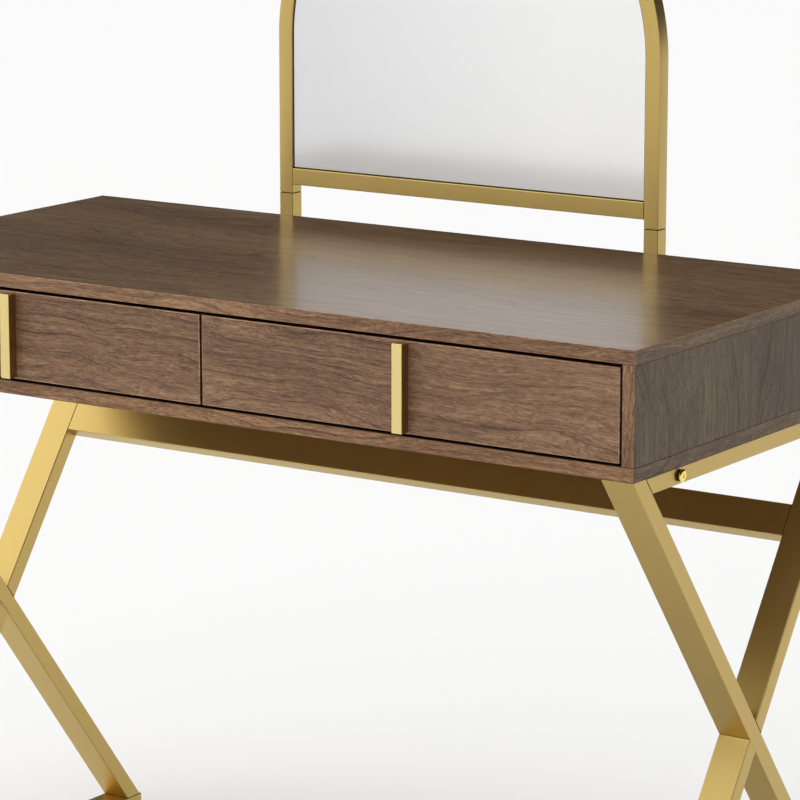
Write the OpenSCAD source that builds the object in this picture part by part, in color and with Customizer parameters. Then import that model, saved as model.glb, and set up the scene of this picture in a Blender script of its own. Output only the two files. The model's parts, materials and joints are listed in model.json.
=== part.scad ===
// Vanity table with two drawers, two crossed-leg side frames and an arched mirror.
// Millimetres. +Z is up, the front faces -Y, and the origin is on the floor under the
// middle of the whole object.

/* [Cabinet] */
// Width of the tabletop and the cabinet
table_w = 1067; // [900:1:1250]
// Depth of the tabletop and the cabinet
table_d = 512; // [460:1:560]
// Height of the tabletop's surface above the floor
table_h = 793; // [720:1:820]
// Height of the cabinet, top and bottom boards included
cabinet_h = 134; // [115:1:180]
// Thickness of the cabinet's boards and the drawer fronts
board_t = 15; // [12:1:22]
// Thickness of the back panel
back_t = 15; // [12:1:18]

/* [Drawers] */
// Gap above a drawer front
gap_above = 3.6; // [2:0.2:5]
// Gap below a drawer front
gap_below = 3; // [2:0.2:5]
// Gap at the outer end of a drawer front
gap_end = 2.6; // [2:0.2:4]
// Gap between the two drawer fronts
gap_between = 3.2; // [2:0.2:5]
// Height of a drawer's box
box_h = 75; // [60:1:80]
// Depth of a drawer's box behind its front
box_d = 400; // [350:10:430]
// Thickness of the box's sides and back
box_t = 12; // [10:1:15]
// Thickness of the box's bottom
box_floor_t = 5; // [3:0.5:6]
// Thickness of one ball slide, between cabinet and box
slide_t = 12.7; // [12.7:0.1:13]
// Height of a ball slide
slide_h = 45; // [35:1:46]

/* [Handles] */
// Width of a handle bar
handle_w = 12.5; // [10:0.5:20]
// Length of a handle bar
handle_l = 94; // [70:1:96]
// How far a handle stands out from the drawer front
handle_proud = 12.5; // [8:0.5:14]
// Distance between a handle's two screws
handle_screw_pitch = 48; // [32:1:48]

/* [Side frames] */
// Width of the frame tube, across the table
tube_w = 38; // [30:1:50]
// Thickness of the leg tube, seen from the side
leg_t = 20; // [18:1:25]
// Thickness of the top rail and the floor rail
rail_t = 18; // [16:1:20]
// Wall of the steel tubes
tube_wall = 1.5; // [1:0.1:2]
// How far a frame is set in from the cabinet's side
frame_inset = 1; // [0:0.5:20]
// Run of the long leg, from the front at the top to the rear at the floor
long_leg_run = 494; // [440:1:500]
// Run of the split leg, from the rear at the top to the front at the floor
split_leg_run = 446.5; // [420:0.5:500]
// How far the split leg's top is set in from the back of the cabinet
split_leg_inset = 6; // [0:1:20]
// How far the floor rail reaches past the legs
foot_overhang = 3; // [0:1:20]
// Height of the glide feet
glide_h = 3; // [2:0.5:6]

/* [Cross members] */
// Distance from the tabletop down to the middle of the stretcher
stretcher_drop = 255; // [200:1:400]
// Width of the stretcher's broad face
stretcher_w = 38; // [30:1:50]
// Distance of each cross rail from the middle of the cabinet
cross_rail_y = 163; // [120:1:170]
// Thickness of a cross rail
cross_rail_t = 20; // [16:1:22]
// Diameter of the head of a frame bolt
bolt_head_d = 13.6; // [12:0.1:15]
// How far the head of a frame bolt stands out
bolt_head_h = 5; // [3:0.1:6]

/* [Mirror] */
// Outer width of the mirror frame
mirror_w = 525; // [450:1:620]
// Size of the square mirror tube
mirror_tube = 19; // [16:1:25]
// Height above the tabletop where the uprights turn into the arch
arch_spring = 217; // [180:1:300]
// Height above the tabletop of the joint in the uprights
post_joint = 27.1; // [15:0.1:34]
// Height above the tabletop of the mirror's bottom rail
mirror_rail_gap = 37.4; // [36:0.1:60]
// Height of the mirror's bottom rail
mirror_rail_h = 20; // [16:1:25]
// Thickness of the glass
glass_t = 4; // [3:0.5:5]
// How far the glass lies behind the front of the frame
glass_recess = 2.5; // [1:0.5:4]
// Gap between the glass and the frame
glass_gap = 1.7; // [1:0.1:3]

/* [Hidden] */
$fn = 64;

LEFT = -1;
RIGHT = 1;

// The posts stand behind the cabinet and the handles in front of it, so the cabinet is
// moved to bring the middle of the whole object over the origin.
cabinet_y = (handle_proud - mirror_tube) / 2;
front_y = cabinet_y - table_d / 2;
rear_y = cabinet_y + table_d / 2;
bottom_z = table_h - cabinet_h;
bay_low = bottom_z + board_t;
bay_high = table_h - board_t;
bay_h = bay_high - bay_low;
side_x = table_w / 2 - board_t;

// Drawers
fronts_inner_x = gap_between / 2;
fronts_outer_x = side_x - gap_end;
front_w = fronts_outer_x - fronts_inner_x;
front_h = bay_h - gap_above - gap_below;
front_mid_x = (fronts_inner_x + fronts_outer_x) / 2;
front_mid_z = bay_low + gap_below + front_h / 2;
box_front_y = front_y + board_t;
bay_inner_x = board_t / 2;
box_inner_x = bay_inner_x + slide_t;
box_outer_x = side_x - slide_t;
box_low = bay_low + 10;
groove_z = box_low + 5;
groove_depth = 5;
divider_setback = 3;
slide_z = box_low + box_h / 2;
slide_setback = 2;
slide_l = box_d - slide_setback;
slide_wall = 1.2;
slide_step = 2.9;
screw_head_h = 2.4;

// Side frames
frame_outer_x = table_w / 2 - frame_inset;
frame_inner_x = frame_outer_x - tube_w;
frame_mid_x = frame_outer_x - tube_w / 2;
floor_rail_top = glide_h + rail_t;
leg_rise = bottom_z - floor_rail_top;
long_slope = long_leg_run / leg_rise;
split_slope = split_leg_run / leg_rise;
long_leg_cut = leg_t * sqrt(1 + long_slope * long_slope);
split_leg_cut = leg_t * sqrt(1 + split_slope * split_slope);
split_leg_tilt = atan(split_slope);
split_leg_top_y = rear_y - split_leg_inset;
foot_front_y = split_leg_top_y - split_leg_run - split_leg_cut - foot_overhang;
foot_rear_y = front_y + long_leg_run + long_leg_cut + foot_overhang;
glide_d = 24;
glide_stem_d = 8;
glide_inset = 30;

// Bolts and screws
bolt_d = 8;
bolt_hole_d = 8.4;
bolt_z = bottom_z - rail_t / 2;
bolt_reach = 52;
bolt_dome_r = bolt_head_d / 2 - 0.5;
bolt_dome_h = 1.6;
bolt_dome_ball_r = (bolt_dome_r * bolt_dome_r + bolt_dome_h * bolt_dome_h) / (2 * bolt_dome_h);
cross_rail_block = 22;
fixing_screw_d = 4.5;
fixing_hole_d = 5;
fixing_screw_x = [-400, 0, 400];
dowel_d = 8;
dowel_hole_d = 8.2;
dowel_y = [-170, 0, 170];

// Mirror
post_x = mirror_w / 2 - mirror_tube / 2;
opening_w = mirror_w - 2 * mirror_tube;
arch_r = mirror_w / 2;
mirror_rail_z = table_h + mirror_rail_gap;
opening_low = mirror_rail_z + mirror_rail_h;
arch_z = table_h + arch_spring;
stub_low = bottom_z + 6;
sleeve_w = mirror_tube - 2 * tube_wall;
sleeve_wall = 1.2;
sleeve_half = 30;
board_fit = 0.2;
backing_t = 6;
backing_y = rear_y + glass_recess + glass_t;
clip_y = backing_y + backing_t;
post_bolt_z = [bottom_z + 35, bottom_z + 95];
post_bolt_d = 6;
post_bolt_hole_d = 6.4;

module walnut() color("#7d5f45") children();
module gold() color("#c8a865") children();
module bright_brass() color("#e0bd62") children();
module box_board() color("#b9a283") children();
module steel() color("#b4b6b8") children();
module black() color("#1e1e20") children();

// A box given by its lowest and highest corners.
module block(low, high) translate(low) cube(high - low);

// A shape drawn in the Y-Z plane, made w wide about the plane X = x.
module across(x, w) translate([x - w / 2, 0, 0]) rotate([90, 0, 90]) linear_extrude(w) children();

// A round rod along Y, from y0 to y1.
module rod_y(x, z, d, y0, y1) translate([x, y1, z]) rotate([90, 0, 0]) cylinder(d = d, h = y1 - y0);

// A round rod along X, from x0 to x1.
module rod_x(y, z, d, x0, x1) translate([x0, y, z]) rotate([0, 90, 0]) cylinder(d = d, h = x1 - x0);

// ---- Cabinet ----

// Dowels stand in the joints of top and bottom with the sides and the divider.
module dowels(d) {
    for (x = [-side_x - board_t / 2, 0, side_x + board_t / 2])
        for (y = dowel_y)
            for (z = [bay_low, bay_high])
                translate([x, cabinet_y + y, z - (z == bay_low ? 10 : 20)]) cylinder(d = d, h = 30);
}

module top_panel() walnut() difference() {
    block([-table_w / 2, front_y, bay_high], [table_w / 2, rear_y, table_h]);
    dowels(dowel_hole_d);
}

module bottom_panel() walnut() difference() {
    block([-table_w / 2, front_y, bottom_z], [table_w / 2, rear_y, bay_low]);
    dowels(dowel_hole_d);
    for (x = fixing_screw_x)
        for (y = [-cross_rail_y, cross_rail_y])
            translate([x, cabinet_y + y, bottom_z - 1]) cylinder(d = fixing_hole_d, h = board_t - 2);
}

module side_panel(side) walnut() difference() {
    translate([side * (side_x + board_t / 2), cabinet_y, bay_low + bay_h / 2])
        cube([board_t, table_d, bay_h], center = true);
    dowels(dowel_hole_d);
}

module left_side_panel() side_panel(LEFT);
module right_side_panel() side_panel(RIGHT);

module back_panel() walnut() difference() {
    block([-side_x, rear_y - back_t, bay_low], [side_x, rear_y, bay_high]);
    for (side = [LEFT, RIGHT])
        for (z = post_bolt_z)
            rod_y(side * post_x, z, post_bolt_hole_d, rear_y - back_t - 1, rear_y + 1);
}

module centre_divider() walnut() difference() {
    block([-board_t / 2, box_front_y + divider_setback, bay_low],
          [board_t / 2, rear_y - back_t, bay_high]);
    dowels(dowel_hole_d);
}

module cabinet_dowels() color("#cdb48c") dowels(dowel_d);

// ---- Drawers: the left and right ones have the same parts, about mirrored bays ----

function handle_x(side) = side * front_mid_x;
function handle_screw_z() = [front_mid_z - handle_screw_pitch / 2, front_mid_z + handle_screw_pitch / 2];

module drawer_front(side) walnut() difference() {
    translate([side * front_mid_x, front_y + board_t / 2, front_mid_z])
        cube([front_w, board_t, front_h], center = true);
    for (z = handle_screw_z())
        rod_y(handle_x(side), z, 4.5, front_y - 1, box_front_y + 1);
}

// x is the box's inner or outer face, and into points from that face into the box.
module drawer_side(side, x, into) box_board() difference() {
    translate([side * (x + into * box_t / 2), box_front_y + box_d / 2, box_low + box_h / 2])
        cube([box_t, box_d, box_h], center = true);
    translate([side * (x + into * (box_t - groove_depth / 2)), box_front_y + box_d / 2, groove_z + box_floor_t / 2])
        cube([groove_depth, box_d + 2, box_floor_t], center = true);
}

module drawer_back(side) box_board()
    translate([side * (box_inner_x + box_outer_x) / 2, box_front_y + box_d - box_t / 2, 0])
        block([-(box_outer_x - box_inner_x) / 2 + box_t, -box_t / 2, groove_z + box_floor_t],
              [(box_outer_x - box_inner_x) / 2 - box_t, box_t / 2, box_low + box_h]);

module drawer_bottom(side) box_board()
    translate([side * (box_inner_x + box_outer_x) / 2, box_front_y + box_d / 2, groove_z + box_floor_t / 2])
        cube([box_outer_x - box_inner_x - 2 * (box_t - groove_depth), box_d, box_floor_t], center = true);

module drawer_handle(side) bright_brass() difference() {
    translate([handle_x(side), front_y - handle_proud / 2, front_mid_z])
        cube([handle_w, handle_proud, handle_l], center = true);
    for (z = handle_screw_z())
        rod_y(handle_x(side), z, 4, front_y - handle_proud + 3, front_y + 1);
}

module handle_screws(side) steel() for (z = handle_screw_z()) {
    rod_y(handle_x(side), z, 3.9, front_y - handle_proud + 3.5, box_front_y);
    rod_y(handle_x(side), z, 8, box_front_y, box_front_y + screw_head_h);
}

module left_drawer_front() drawer_front(LEFT);
module left_drawer_outer_side() drawer_side(LEFT, box_outer_x, -1);
module left_drawer_inner_side() drawer_side(LEFT, box_inner_x, 1);
module left_drawer_back() drawer_back(LEFT);
module left_drawer_bottom() drawer_bottom(LEFT);
module left_drawer_handle() drawer_handle(LEFT);
module left_handle_screws() handle_screws(LEFT);
module right_drawer_front() drawer_front(RIGHT);
module right_drawer_outer_side() drawer_side(RIGHT, box_outer_x, -1);
module right_drawer_inner_side() drawer_side(RIGHT, box_inner_x, 1);
module right_drawer_back() drawer_back(RIGHT);
module right_drawer_bottom() drawer_bottom(RIGHT);
module right_drawer_handle() drawer_handle(RIGHT);
module right_handle_screws() handle_screws(RIGHT);

// ---- Ball slides: a channel on the cabinet, a middle member and a runner on the box ----

// A C-shaped section with its back at x = 0, opening towards +X.
module c_section(depth, height) translate([0, -height / 2]) difference() {
    square([depth, height]);
    translate([slide_wall, slide_wall]) square([depth, height - 2 * slide_wall]);
}

// x is the cabinet's face that carries the slide, and into points from there to the box.
module slide_member(side, x, into) steel()
    translate([side * x, box_front_y + slide_setback + slide_l, slide_z])
        scale([side * into, 1, 1]) rotate([90, 0, 0]) linear_extrude(slide_l) children();

module slide_channel(side, x, into) slide_member(side, x, into) c_section(9, slide_h);
module slide_middle(side, x, into) slide_member(side, x, into)
    translate([2.2, 0]) c_section(8, slide_h - 2 * slide_step);
module slide_runner(side, x, into) slide_member(side, x, into)
    translate([slide_t, 0]) mirror([1, 0]) c_section(8.1, slide_h - 4 * slide_step);

module left_outer_slide_channel() slide_channel(LEFT, side_x, -1);
module left_outer_slide_middle() slide_middle(LEFT, side_x, -1);
module left_outer_slide_runner() slide_runner(LEFT, side_x, -1);
module left_inner_slide_channel() slide_channel(LEFT, bay_inner_x, 1);
module left_inner_slide_middle() slide_middle(LEFT, bay_inner_x, 1);
module left_inner_slide_runner() slide_runner(LEFT, bay_inner_x, 1);
module right_outer_slide_channel() slide_channel(RIGHT, side_x, -1);
module right_outer_slide_middle() slide_middle(RIGHT, side_x, -1);
module right_outer_slide_runner() slide_runner(RIGHT, side_x, -1);
module right_inner_slide_channel() slide_channel(RIGHT, bay_inner_x, 1);
module right_inner_slide_middle() slide_middle(RIGHT, bay_inner_x, 1);
module right_inner_slide_runner() slide_runner(RIGHT, bay_inner_x, 1);

// ---- Side frames: legs and rails, drawn in the Y-Z plane ----

// Y of a leg's face at height z. k = 0 is the face that meets the cabinet's front or
// rear edge, and k = 1 is the face towards the middle of the table.
function long_leg_y(z, k) = front_y + k * long_leg_cut + long_slope * (bottom_z - z);
function split_leg_y(z, k) = split_leg_top_y - k * split_leg_cut - split_slope * (bottom_z - z);

// Height where face i of the long leg meets face k of the split leg.
function crossing_z(i, k) = bottom_z - (split_leg_y(bottom_z, k) - long_leg_y(bottom_z, i))
    / (long_slope + split_slope);

module tube_shell(side) difference() {
    across(side * frame_mid_x, tube_w) children(0);
    across(side * frame_mid_x, tube_w - 2 * tube_wall) children(1);
}

// The space inside a leg tube, past both of its ends.
module long_leg_inside() {
    k = tube_wall / leg_t;
    high = bottom_z + 5;
    low = floor_rail_top - 5;
    polygon([[long_leg_y(high, k), high], [long_leg_y(high, 1 - k), high],
             [long_leg_y(low, 1 - k), low], [long_leg_y(low, k), low]]);
}

module split_leg_inside() {
    k = tube_wall / leg_t;
    high = bottom_z + 5;
    low = floor_rail_top - 5;
    polygon([[split_leg_y(high, k), high], [split_leg_y(high, 1 - k), high],
             [split_leg_y(low, 1 - k), low], [split_leg_y(low, k), low]]);
}

module long_leg(side) gold() tube_shell(side) {
    polygon([[long_leg_y(bottom_z, 0), bottom_z], [long_leg_y(bottom_z, 1), bottom_z],
             [long_leg_y(floor_rail_top, 1), floor_rail_top],
             [long_leg_y(floor_rail_top, 0), floor_rail_top]]);
    long_leg_inside();
}

module split_leg_upper(side) gold() tube_shell(side) {
    polygon([[split_leg_y(bottom_z, 0), bottom_z], [split_leg_y(bottom_z, 1), bottom_z],
             [split_leg_y(crossing_z(1, 1), 1), crossing_z(1, 1)],
             [split_leg_y(crossing_z(1, 0), 0), crossing_z(1, 0)]]);
    split_leg_inside();
}

module split_leg_lower(side) gold() tube_shell(side) {
    polygon([[split_leg_y(crossing_z(0, 0), 0), crossing_z(0, 0)],
             [split_leg_y(crossing_z(0, 1), 1), crossing_z(0, 1)],
             [split_leg_y(floor_rail_top, 1), floor_rail_top],
             [split_leg_y(floor_rail_top, 0), floor_rail_top]]);
    split_leg_inside();
}

module top_rail(side) gold() difference() {
    tube_shell(side) {
        polygon([[long_leg_y(bottom_z, 1), bottom_z], [split_leg_y(bottom_z, 1), bottom_z],
                 [split_leg_y(bottom_z - rail_t, 1), bottom_z - rail_t],
                 [long_leg_y(bottom_z - rail_t, 1), bottom_z - rail_t]]);
        translate([front_y, bottom_z - rail_t + tube_wall]) square([table_d, rail_t - 2 * tube_wall]);
    }
    for (y = [-cross_rail_y, cross_rail_y])
        rod_x(cabinet_y + y, bolt_z, bolt_hole_d, side * frame_mid_x - tube_w, side * frame_mid_x + tube_w);
}

function glide_y() = [foot_front_y + glide_inset, foot_rear_y - glide_inset];

module floor_rail(side) gold() difference() {
    tube_shell(side) {
        translate([foot_front_y, glide_h]) square([foot_rear_y - foot_front_y, rail_t]);
        translate([foot_front_y + tube_wall, glide_h + tube_wall])
            square([foot_rear_y - foot_front_y - 2 * tube_wall, rail_t - 2 * tube_wall]);
    }
    for (y = glide_y())
        translate([side * frame_mid_x, y, 0]) cylinder(d = glide_stem_d, h = glide_h + 5);
}

module left_long_leg() long_leg(LEFT);
module left_split_leg_upper() split_leg_upper(LEFT);
module left_split_leg_lower() split_leg_lower(LEFT);
module left_top_rail() top_rail(LEFT);
module left_floor_rail() floor_rail(LEFT);
module right_long_leg() long_leg(RIGHT);
module right_split_leg_upper() split_leg_upper(RIGHT);
module right_split_leg_lower() split_leg_lower(RIGHT);
module right_top_rail() top_rail(RIGHT);
module right_floor_rail() floor_rail(RIGHT);

module glide_feet() black() for (side = [LEFT, RIGHT])
    for (y = glide_y())
        translate([side * frame_mid_x, y, 0]) {
            cylinder(d = glide_d, h = glide_h);
            cylinder(d = glide_stem_d - 0.2, h = glide_h + 10);
        }

// ---- Cross members ----

// The stretcher lies in the slope of the split legs, its broad face level with theirs.
module rear_stretcher() {
    z = table_h - stretcher_drop;
    gold() translate([0, split_leg_y(z, 1), z]) rotate([-split_leg_tilt, 0, 0])
        translate([0, leg_t / 2, 0]) difference() {
            cube([2 * frame_inner_x, leg_t, stretcher_w], center = true);
            cube([2 * frame_inner_x + 2, leg_t - 2 * tube_wall, stretcher_w - 2 * tube_wall], center = true);
        }
}

// A cross rail ends in blocks that take the frame bolts.
module cross_rail(y) gold() translate([0, y, bolt_z]) difference() {
    cube([2 * frame_inner_x, cross_rail_t, rail_t], center = true);
    cube([2 * (frame_inner_x - cross_rail_block), cross_rail_t - 2 * tube_wall,
          rail_t - 2 * tube_wall], center = true);
    for (side = [LEFT, RIGHT])
        rod_x(0, 0, bolt_hole_d, side * frame_inner_x - 30, side * frame_inner_x + 30);
    for (x = fixing_screw_x)
        translate([x, 0, -rail_t]) cylinder(d = fixing_hole_d, h = 2 * rail_t);
}

module front_cross_rail() cross_rail(cabinet_y - cross_rail_y);
module rear_cross_rail() cross_rail(cabinet_y + cross_rail_y);

// One bolt, its head's flat side at x = 0 and its shank towards -X.
module frame_bolt() {
    rotate([0, -90, 0]) cylinder(d = bolt_d, h = bolt_reach);
    rotate([0, 90, 0]) cylinder(d = bolt_head_d, h = bolt_head_h - bolt_dome_h);
    translate([bolt_head_h - bolt_dome_h, 0, 0]) rotate([0, 90, 0]) rotate_extrude() intersection() {
        translate([0, bolt_dome_h - bolt_dome_ball_r]) circle(r = bolt_dome_ball_r, $fn = 128);
        square([bolt_dome_r, bolt_dome_h]);
    }
}

module frame_bolts() bright_brass() for (side = [LEFT, RIGHT])
    for (y = [-cross_rail_y, cross_rail_y])
        translate([side * frame_outer_x, cabinet_y + y, bolt_z]) rotate([0, 0, side == LEFT ? 180 : 0])
            frame_bolt();

module cabinet_fixing_screws() steel() for (x = fixing_screw_x)
    for (y = [-cross_rail_y, cross_rail_y])
        translate([x, cabinet_y + y, bottom_z - rail_t]) {
            translate([0, 0, -screw_head_h]) cylinder(d = 9, h = screw_head_h);
            cylinder(d = fixing_screw_d, h = rail_t + 12);
        }

// ---- Mirror ----

module square_ring() difference() {
    square(mirror_tube, center = true);
    square(sleeve_w, center = true);
}

module stub_post(side) gold() translate([side * post_x, rear_y + mirror_tube / 2, 0]) difference() {
    translate([0, 0, stub_low]) linear_extrude(table_h + post_joint - stub_low)
        square(mirror_tube, center = true);
    translate([0, 0, stub_low + tube_wall]) linear_extrude(cabinet_h + post_joint)
        square(sleeve_w, center = true);
    for (z = post_bolt_z)
        rod_y(0, z, post_bolt_hole_d, -mirror_tube, 0);
}

module left_stub_post() stub_post(LEFT);
module right_stub_post() stub_post(RIGHT);

module post_bolts() steel() for (side = [LEFT, RIGHT])
    for (z = post_bolt_z) {
        rod_y(side * post_x, z, post_bolt_d, rear_y - back_t, rear_y + 10);
        rod_y(side * post_x, z, 12, rear_y - back_t - 3, rear_y - back_t);
    }

module mirror_sleeves() steel() for (side = [LEFT, RIGHT])
    translate([side * post_x, rear_y + mirror_tube / 2, table_h + post_joint - sleeve_half])
        linear_extrude(2 * sleeve_half) difference() {
            square(sleeve_w, center = true);
            square(sleeve_w - 2 * sleeve_wall, center = true);
        }

// Two straight uprights and a half circle, bent from one tube.
module mirror_arch_tube() gold() translate([0, rear_y + mirror_tube / 2, 0]) {
    for (side = [LEFT, RIGHT])
        translate([side * post_x, 0, table_h + post_joint])
            linear_extrude(arch_spring - post_joint) square_ring();
    translate([0, 0, arch_z]) rotate([90, 0, 0]) rotate_extrude(angle = 180, $fn = 128)
        translate([post_x, 0]) square_ring();
}

module mirror_bottom_rail() gold()
    translate([0, rear_y + mirror_tube / 2, mirror_rail_z + mirror_rail_h / 2]) difference() {
        cube([opening_w, mirror_tube, mirror_rail_h], center = true);
        cube([opening_w + 2, mirror_tube - 2 * tube_wall, mirror_rail_h - 2 * tube_wall], center = true);
    }

// The frame's opening with a margin taken off all round, made thick from y to y + t.
module mirror_plate(margin, y, t) translate([0, y + t, 0]) rotate([90, 0, 0]) linear_extrude(t) {
    low = opening_low + margin;
    translate([-opening_w / 2 + margin, low]) square([opening_w - 2 * margin, arch_z - low]);
    intersection() {
        translate([0, arch_z]) circle(r = opening_w / 2 - margin, $fn = 128);
        translate([-opening_w / 2, arch_z - 1]) square([opening_w, opening_w]);
    }
}

module mirror_glass() color("#e6e9ea") mirror_plate(glass_gap, rear_y + glass_recess, glass_t);
module mirror_backing_board() black() mirror_plate(board_fit, backing_y, backing_t);

// A clip is a steel tab on the frame's inner face, with a screw into the backing board.
module mirror_clip() {
    translate([-14, 0, -9]) cube([14, 1.5, 18]);
    translate([-9, 1.5, 0]) rotate([-90, 0, 0]) cylinder(d = 6, h = 1.8);
}

module mirror_clips() steel() {
    for (angle = [30, 90, 150])
        translate([0, clip_y, arch_z]) rotate([0, -angle, 0]) translate([opening_w / 2 - 0.6, 0, 0]) mirror_clip();
    for (side = [LEFT, RIGHT])
        for (z = [opening_low + 40, arch_z - 10])
            translate([side * opening_w / 2, clip_y, z]) scale([side, 1, 1]) mirror_clip();
    for (x = [-130, 130])
        translate([x, clip_y, opening_low]) rotate([0, 90, 0]) mirror_clip();
}

top_panel();
bottom_panel();
left_side_panel();
right_side_panel();
back_panel();
centre_divider();
cabinet_dowels();
left_drawer_front();
left_drawer_outer_side();
left_drawer_inner_side();
left_drawer_back();
left_drawer_bottom();
left_drawer_handle();
left_handle_screws();
right_drawer_front();
right_drawer_outer_side();
right_drawer_inner_side();
right_drawer_back();
right_drawer_bottom();
right_drawer_handle();
right_handle_screws();
left_outer_slide_channel();
left_outer_slide_middle();
left_outer_slide_runner();
left_inner_slide_channel();
left_inner_slide_middle();
left_inner_slide_runner();
right_outer_slide_channel();
right_outer_slide_middle();
right_outer_slide_runner();
right_inner_slide_channel();
right_inner_slide_middle();
right_inner_slide_runner();
left_long_leg();
left_split_leg_upper();
left_split_leg_lower();
left_top_rail();
left_floor_rail();
right_long_leg();
right_split_leg_upper();
right_split_leg_lower();
right_top_rail();
right_floor_rail();
rear_stretcher();
front_cross_rail();
rear_cross_rail();
frame_bolts();
cabinet_fixing_screws();
glide_feet();
left_stub_post();
right_stub_post();
post_bolts();
mirror_sleeves();
mirror_arch_tube();
mirror_bottom_rail();
mirror_glass();
mirror_backing_board();
mirror_clips();
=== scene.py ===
import json
import math
import bmesh
import bpy
from mathutils import Matrix, Vector

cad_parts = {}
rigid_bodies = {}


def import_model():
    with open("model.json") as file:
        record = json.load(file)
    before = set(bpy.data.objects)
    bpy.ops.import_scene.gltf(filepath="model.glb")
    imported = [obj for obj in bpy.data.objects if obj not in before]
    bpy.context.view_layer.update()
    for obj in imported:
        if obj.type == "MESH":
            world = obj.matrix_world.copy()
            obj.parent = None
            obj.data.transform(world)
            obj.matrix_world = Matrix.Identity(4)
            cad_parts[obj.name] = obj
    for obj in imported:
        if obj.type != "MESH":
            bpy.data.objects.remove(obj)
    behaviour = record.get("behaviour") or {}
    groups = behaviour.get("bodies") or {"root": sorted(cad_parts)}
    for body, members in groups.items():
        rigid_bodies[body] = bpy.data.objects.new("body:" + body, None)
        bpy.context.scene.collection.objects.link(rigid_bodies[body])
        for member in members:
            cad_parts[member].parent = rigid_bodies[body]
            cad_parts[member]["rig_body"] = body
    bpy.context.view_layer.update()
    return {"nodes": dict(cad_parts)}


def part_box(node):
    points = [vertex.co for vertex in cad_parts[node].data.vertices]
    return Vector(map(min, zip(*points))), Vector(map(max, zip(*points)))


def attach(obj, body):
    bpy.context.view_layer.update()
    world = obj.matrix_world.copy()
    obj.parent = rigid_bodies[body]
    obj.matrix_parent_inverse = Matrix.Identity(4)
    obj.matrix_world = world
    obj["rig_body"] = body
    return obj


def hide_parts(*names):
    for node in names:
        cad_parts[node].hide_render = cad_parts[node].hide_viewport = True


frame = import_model()

# ---- Studio: camera, light and floor ----
# A seated person's view of the table from its front right, over a plain pale floor. One broad
# soft light stands at the front left, and the room grows dim and brown towards the back right.
# The room lights the table and shows in its metal, but the camera sees plain white in its place.
LENS_MM = 170.3
CAMERA_PLACE = (2.3712, -3.41805, 1.4993)
CAMERA_DOWN = 11.703
CAMERA_LEFT = 33.821
ROOM_DIM = (0.060, 0.040, 0.022, 1)
WHITE = (1, 1, 1, 1)
BRIGHT_SIDE = (-0.50, -0.86, 1.30)
WINDOW_SIDE = (-0.90, -0.30, 0.50)
SUN_SIDE = (-0.50, -0.50, 0.707)
SUN_STRENGTH = 1.36
SUN_SPREAD = 120
FLOOR_HALF = 60.0
FLOOR_COLOUR = (0.80, 0.80, 0.80, 1)

camera = bpy.data.objects.new("studio_camera", bpy.data.cameras.new("studio_camera"))
camera.data.lens = LENS_MM
camera.data.clip_end = 100
camera.location = CAMERA_PLACE
camera.rotation_euler = (math.radians(90 - CAMERA_DOWN), 0, math.radians(CAMERA_LEFT))
bpy.context.scene.collection.objects.link(camera)
bpy.context.scene.camera = camera
bpy.context.scene.view_settings.view_transform = "Standard"


def tree_node(tree, kind, values=None, **settings):
    """Adds a node, sets its properties, and fills or links its inputs by name or number."""
    made = tree.nodes.new(kind)
    for key, value in settings.items():
        setattr(made, key, value)
    for key, value in (values or {}).items():
        if isinstance(value, bpy.types.NodeSocket):
            tree.links.new(value, made.inputs[key])
        else:
            made.inputs[key].default_value = value
    return made


def math_node(tree, operation, a, b=0.0, c=0.0):
    return tree_node(tree, "ShaderNodeMath", {0: a, 1: b, 2: c}, operation=operation).outputs[0]


def mix_colour(tree, amount, a, b, blend="MIX"):
    mixed = tree_node(tree, "ShaderNodeMix", {0: amount, 6: a, 7: b}, data_type="RGBA", blend_type=blend)
    return mixed.outputs[2]


def studio_world():
    world = bpy.data.worlds.new("studio_room")
    world.use_nodes = True
    tree = world.node_tree
    tree.nodes.clear()
    way = tree_node(tree, "ShaderNodeTexCoord").outputs["Generated"]
    towards = tree_node(tree, "ShaderNodeVectorMath", {0: way, 1: BRIGHT_SIDE}, operation="DOT_PRODUCT")
    bright = tree_node(tree, "ShaderNodeMapRange", {
        "Value": towards.outputs["Value"], "From Min": -0.15, "From Max": 0.70})
    bright.interpolation_type = "SMOOTHSTEP"
    window = tree_node(tree, "ShaderNodeVectorMath", {0: way, 1: WINDOW_SIDE}, operation="DOT_PRODUCT")
    strong = tree_node(tree, "ShaderNodeMapRange", {
        "Value": window.outputs["Value"], "From Min": 0.80, "From Max": 1.04,
        "To Min": 0.52, "To Max": 1.12})
    height = tree_node(tree, "ShaderNodeSeparateXYZ", {"Vector": way}).outputs["Z"]
    overhead = tree_node(tree, "ShaderNodeMapRange", {
        "Value": height, "From Min": 0.88, "From Max": 0.97, "To Min": 1.0, "To Max": 6.4})
    level = math_node(tree, "MULTIPLY", strong.outputs["Result"], overhead.outputs["Result"])
    seen = tree_node(tree, "ShaderNodeLightPath").outputs["Is Camera Ray"]
    room = mix_colour(tree, bright.outputs["Result"], ROOM_DIM, WHITE)
    lit = tree_node(tree, "ShaderNodeVectorMath", {0: room, "Scale": level}, operation="SCALE").outputs[0]
    light = tree_node(tree, "ShaderNodeBackground", {"Color": mix_colour(tree, seen, lit, WHITE)})
    tree_node(tree, "ShaderNodeOutputWorld", {"Surface": light.outputs[0]})
    bpy.context.scene.world = world


def studio_sun(name, towards, strength, spread):
    sun = bpy.data.objects.new(name, bpy.data.lights.new(name, "SUN"))
    sun.data.energy = strength
    sun.data.angle = math.radians(spread)
    sun.rotation_euler = Vector(towards).to_track_quat("Z", "Y").to_euler()
    bpy.context.scene.collection.objects.link(sun)


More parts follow.
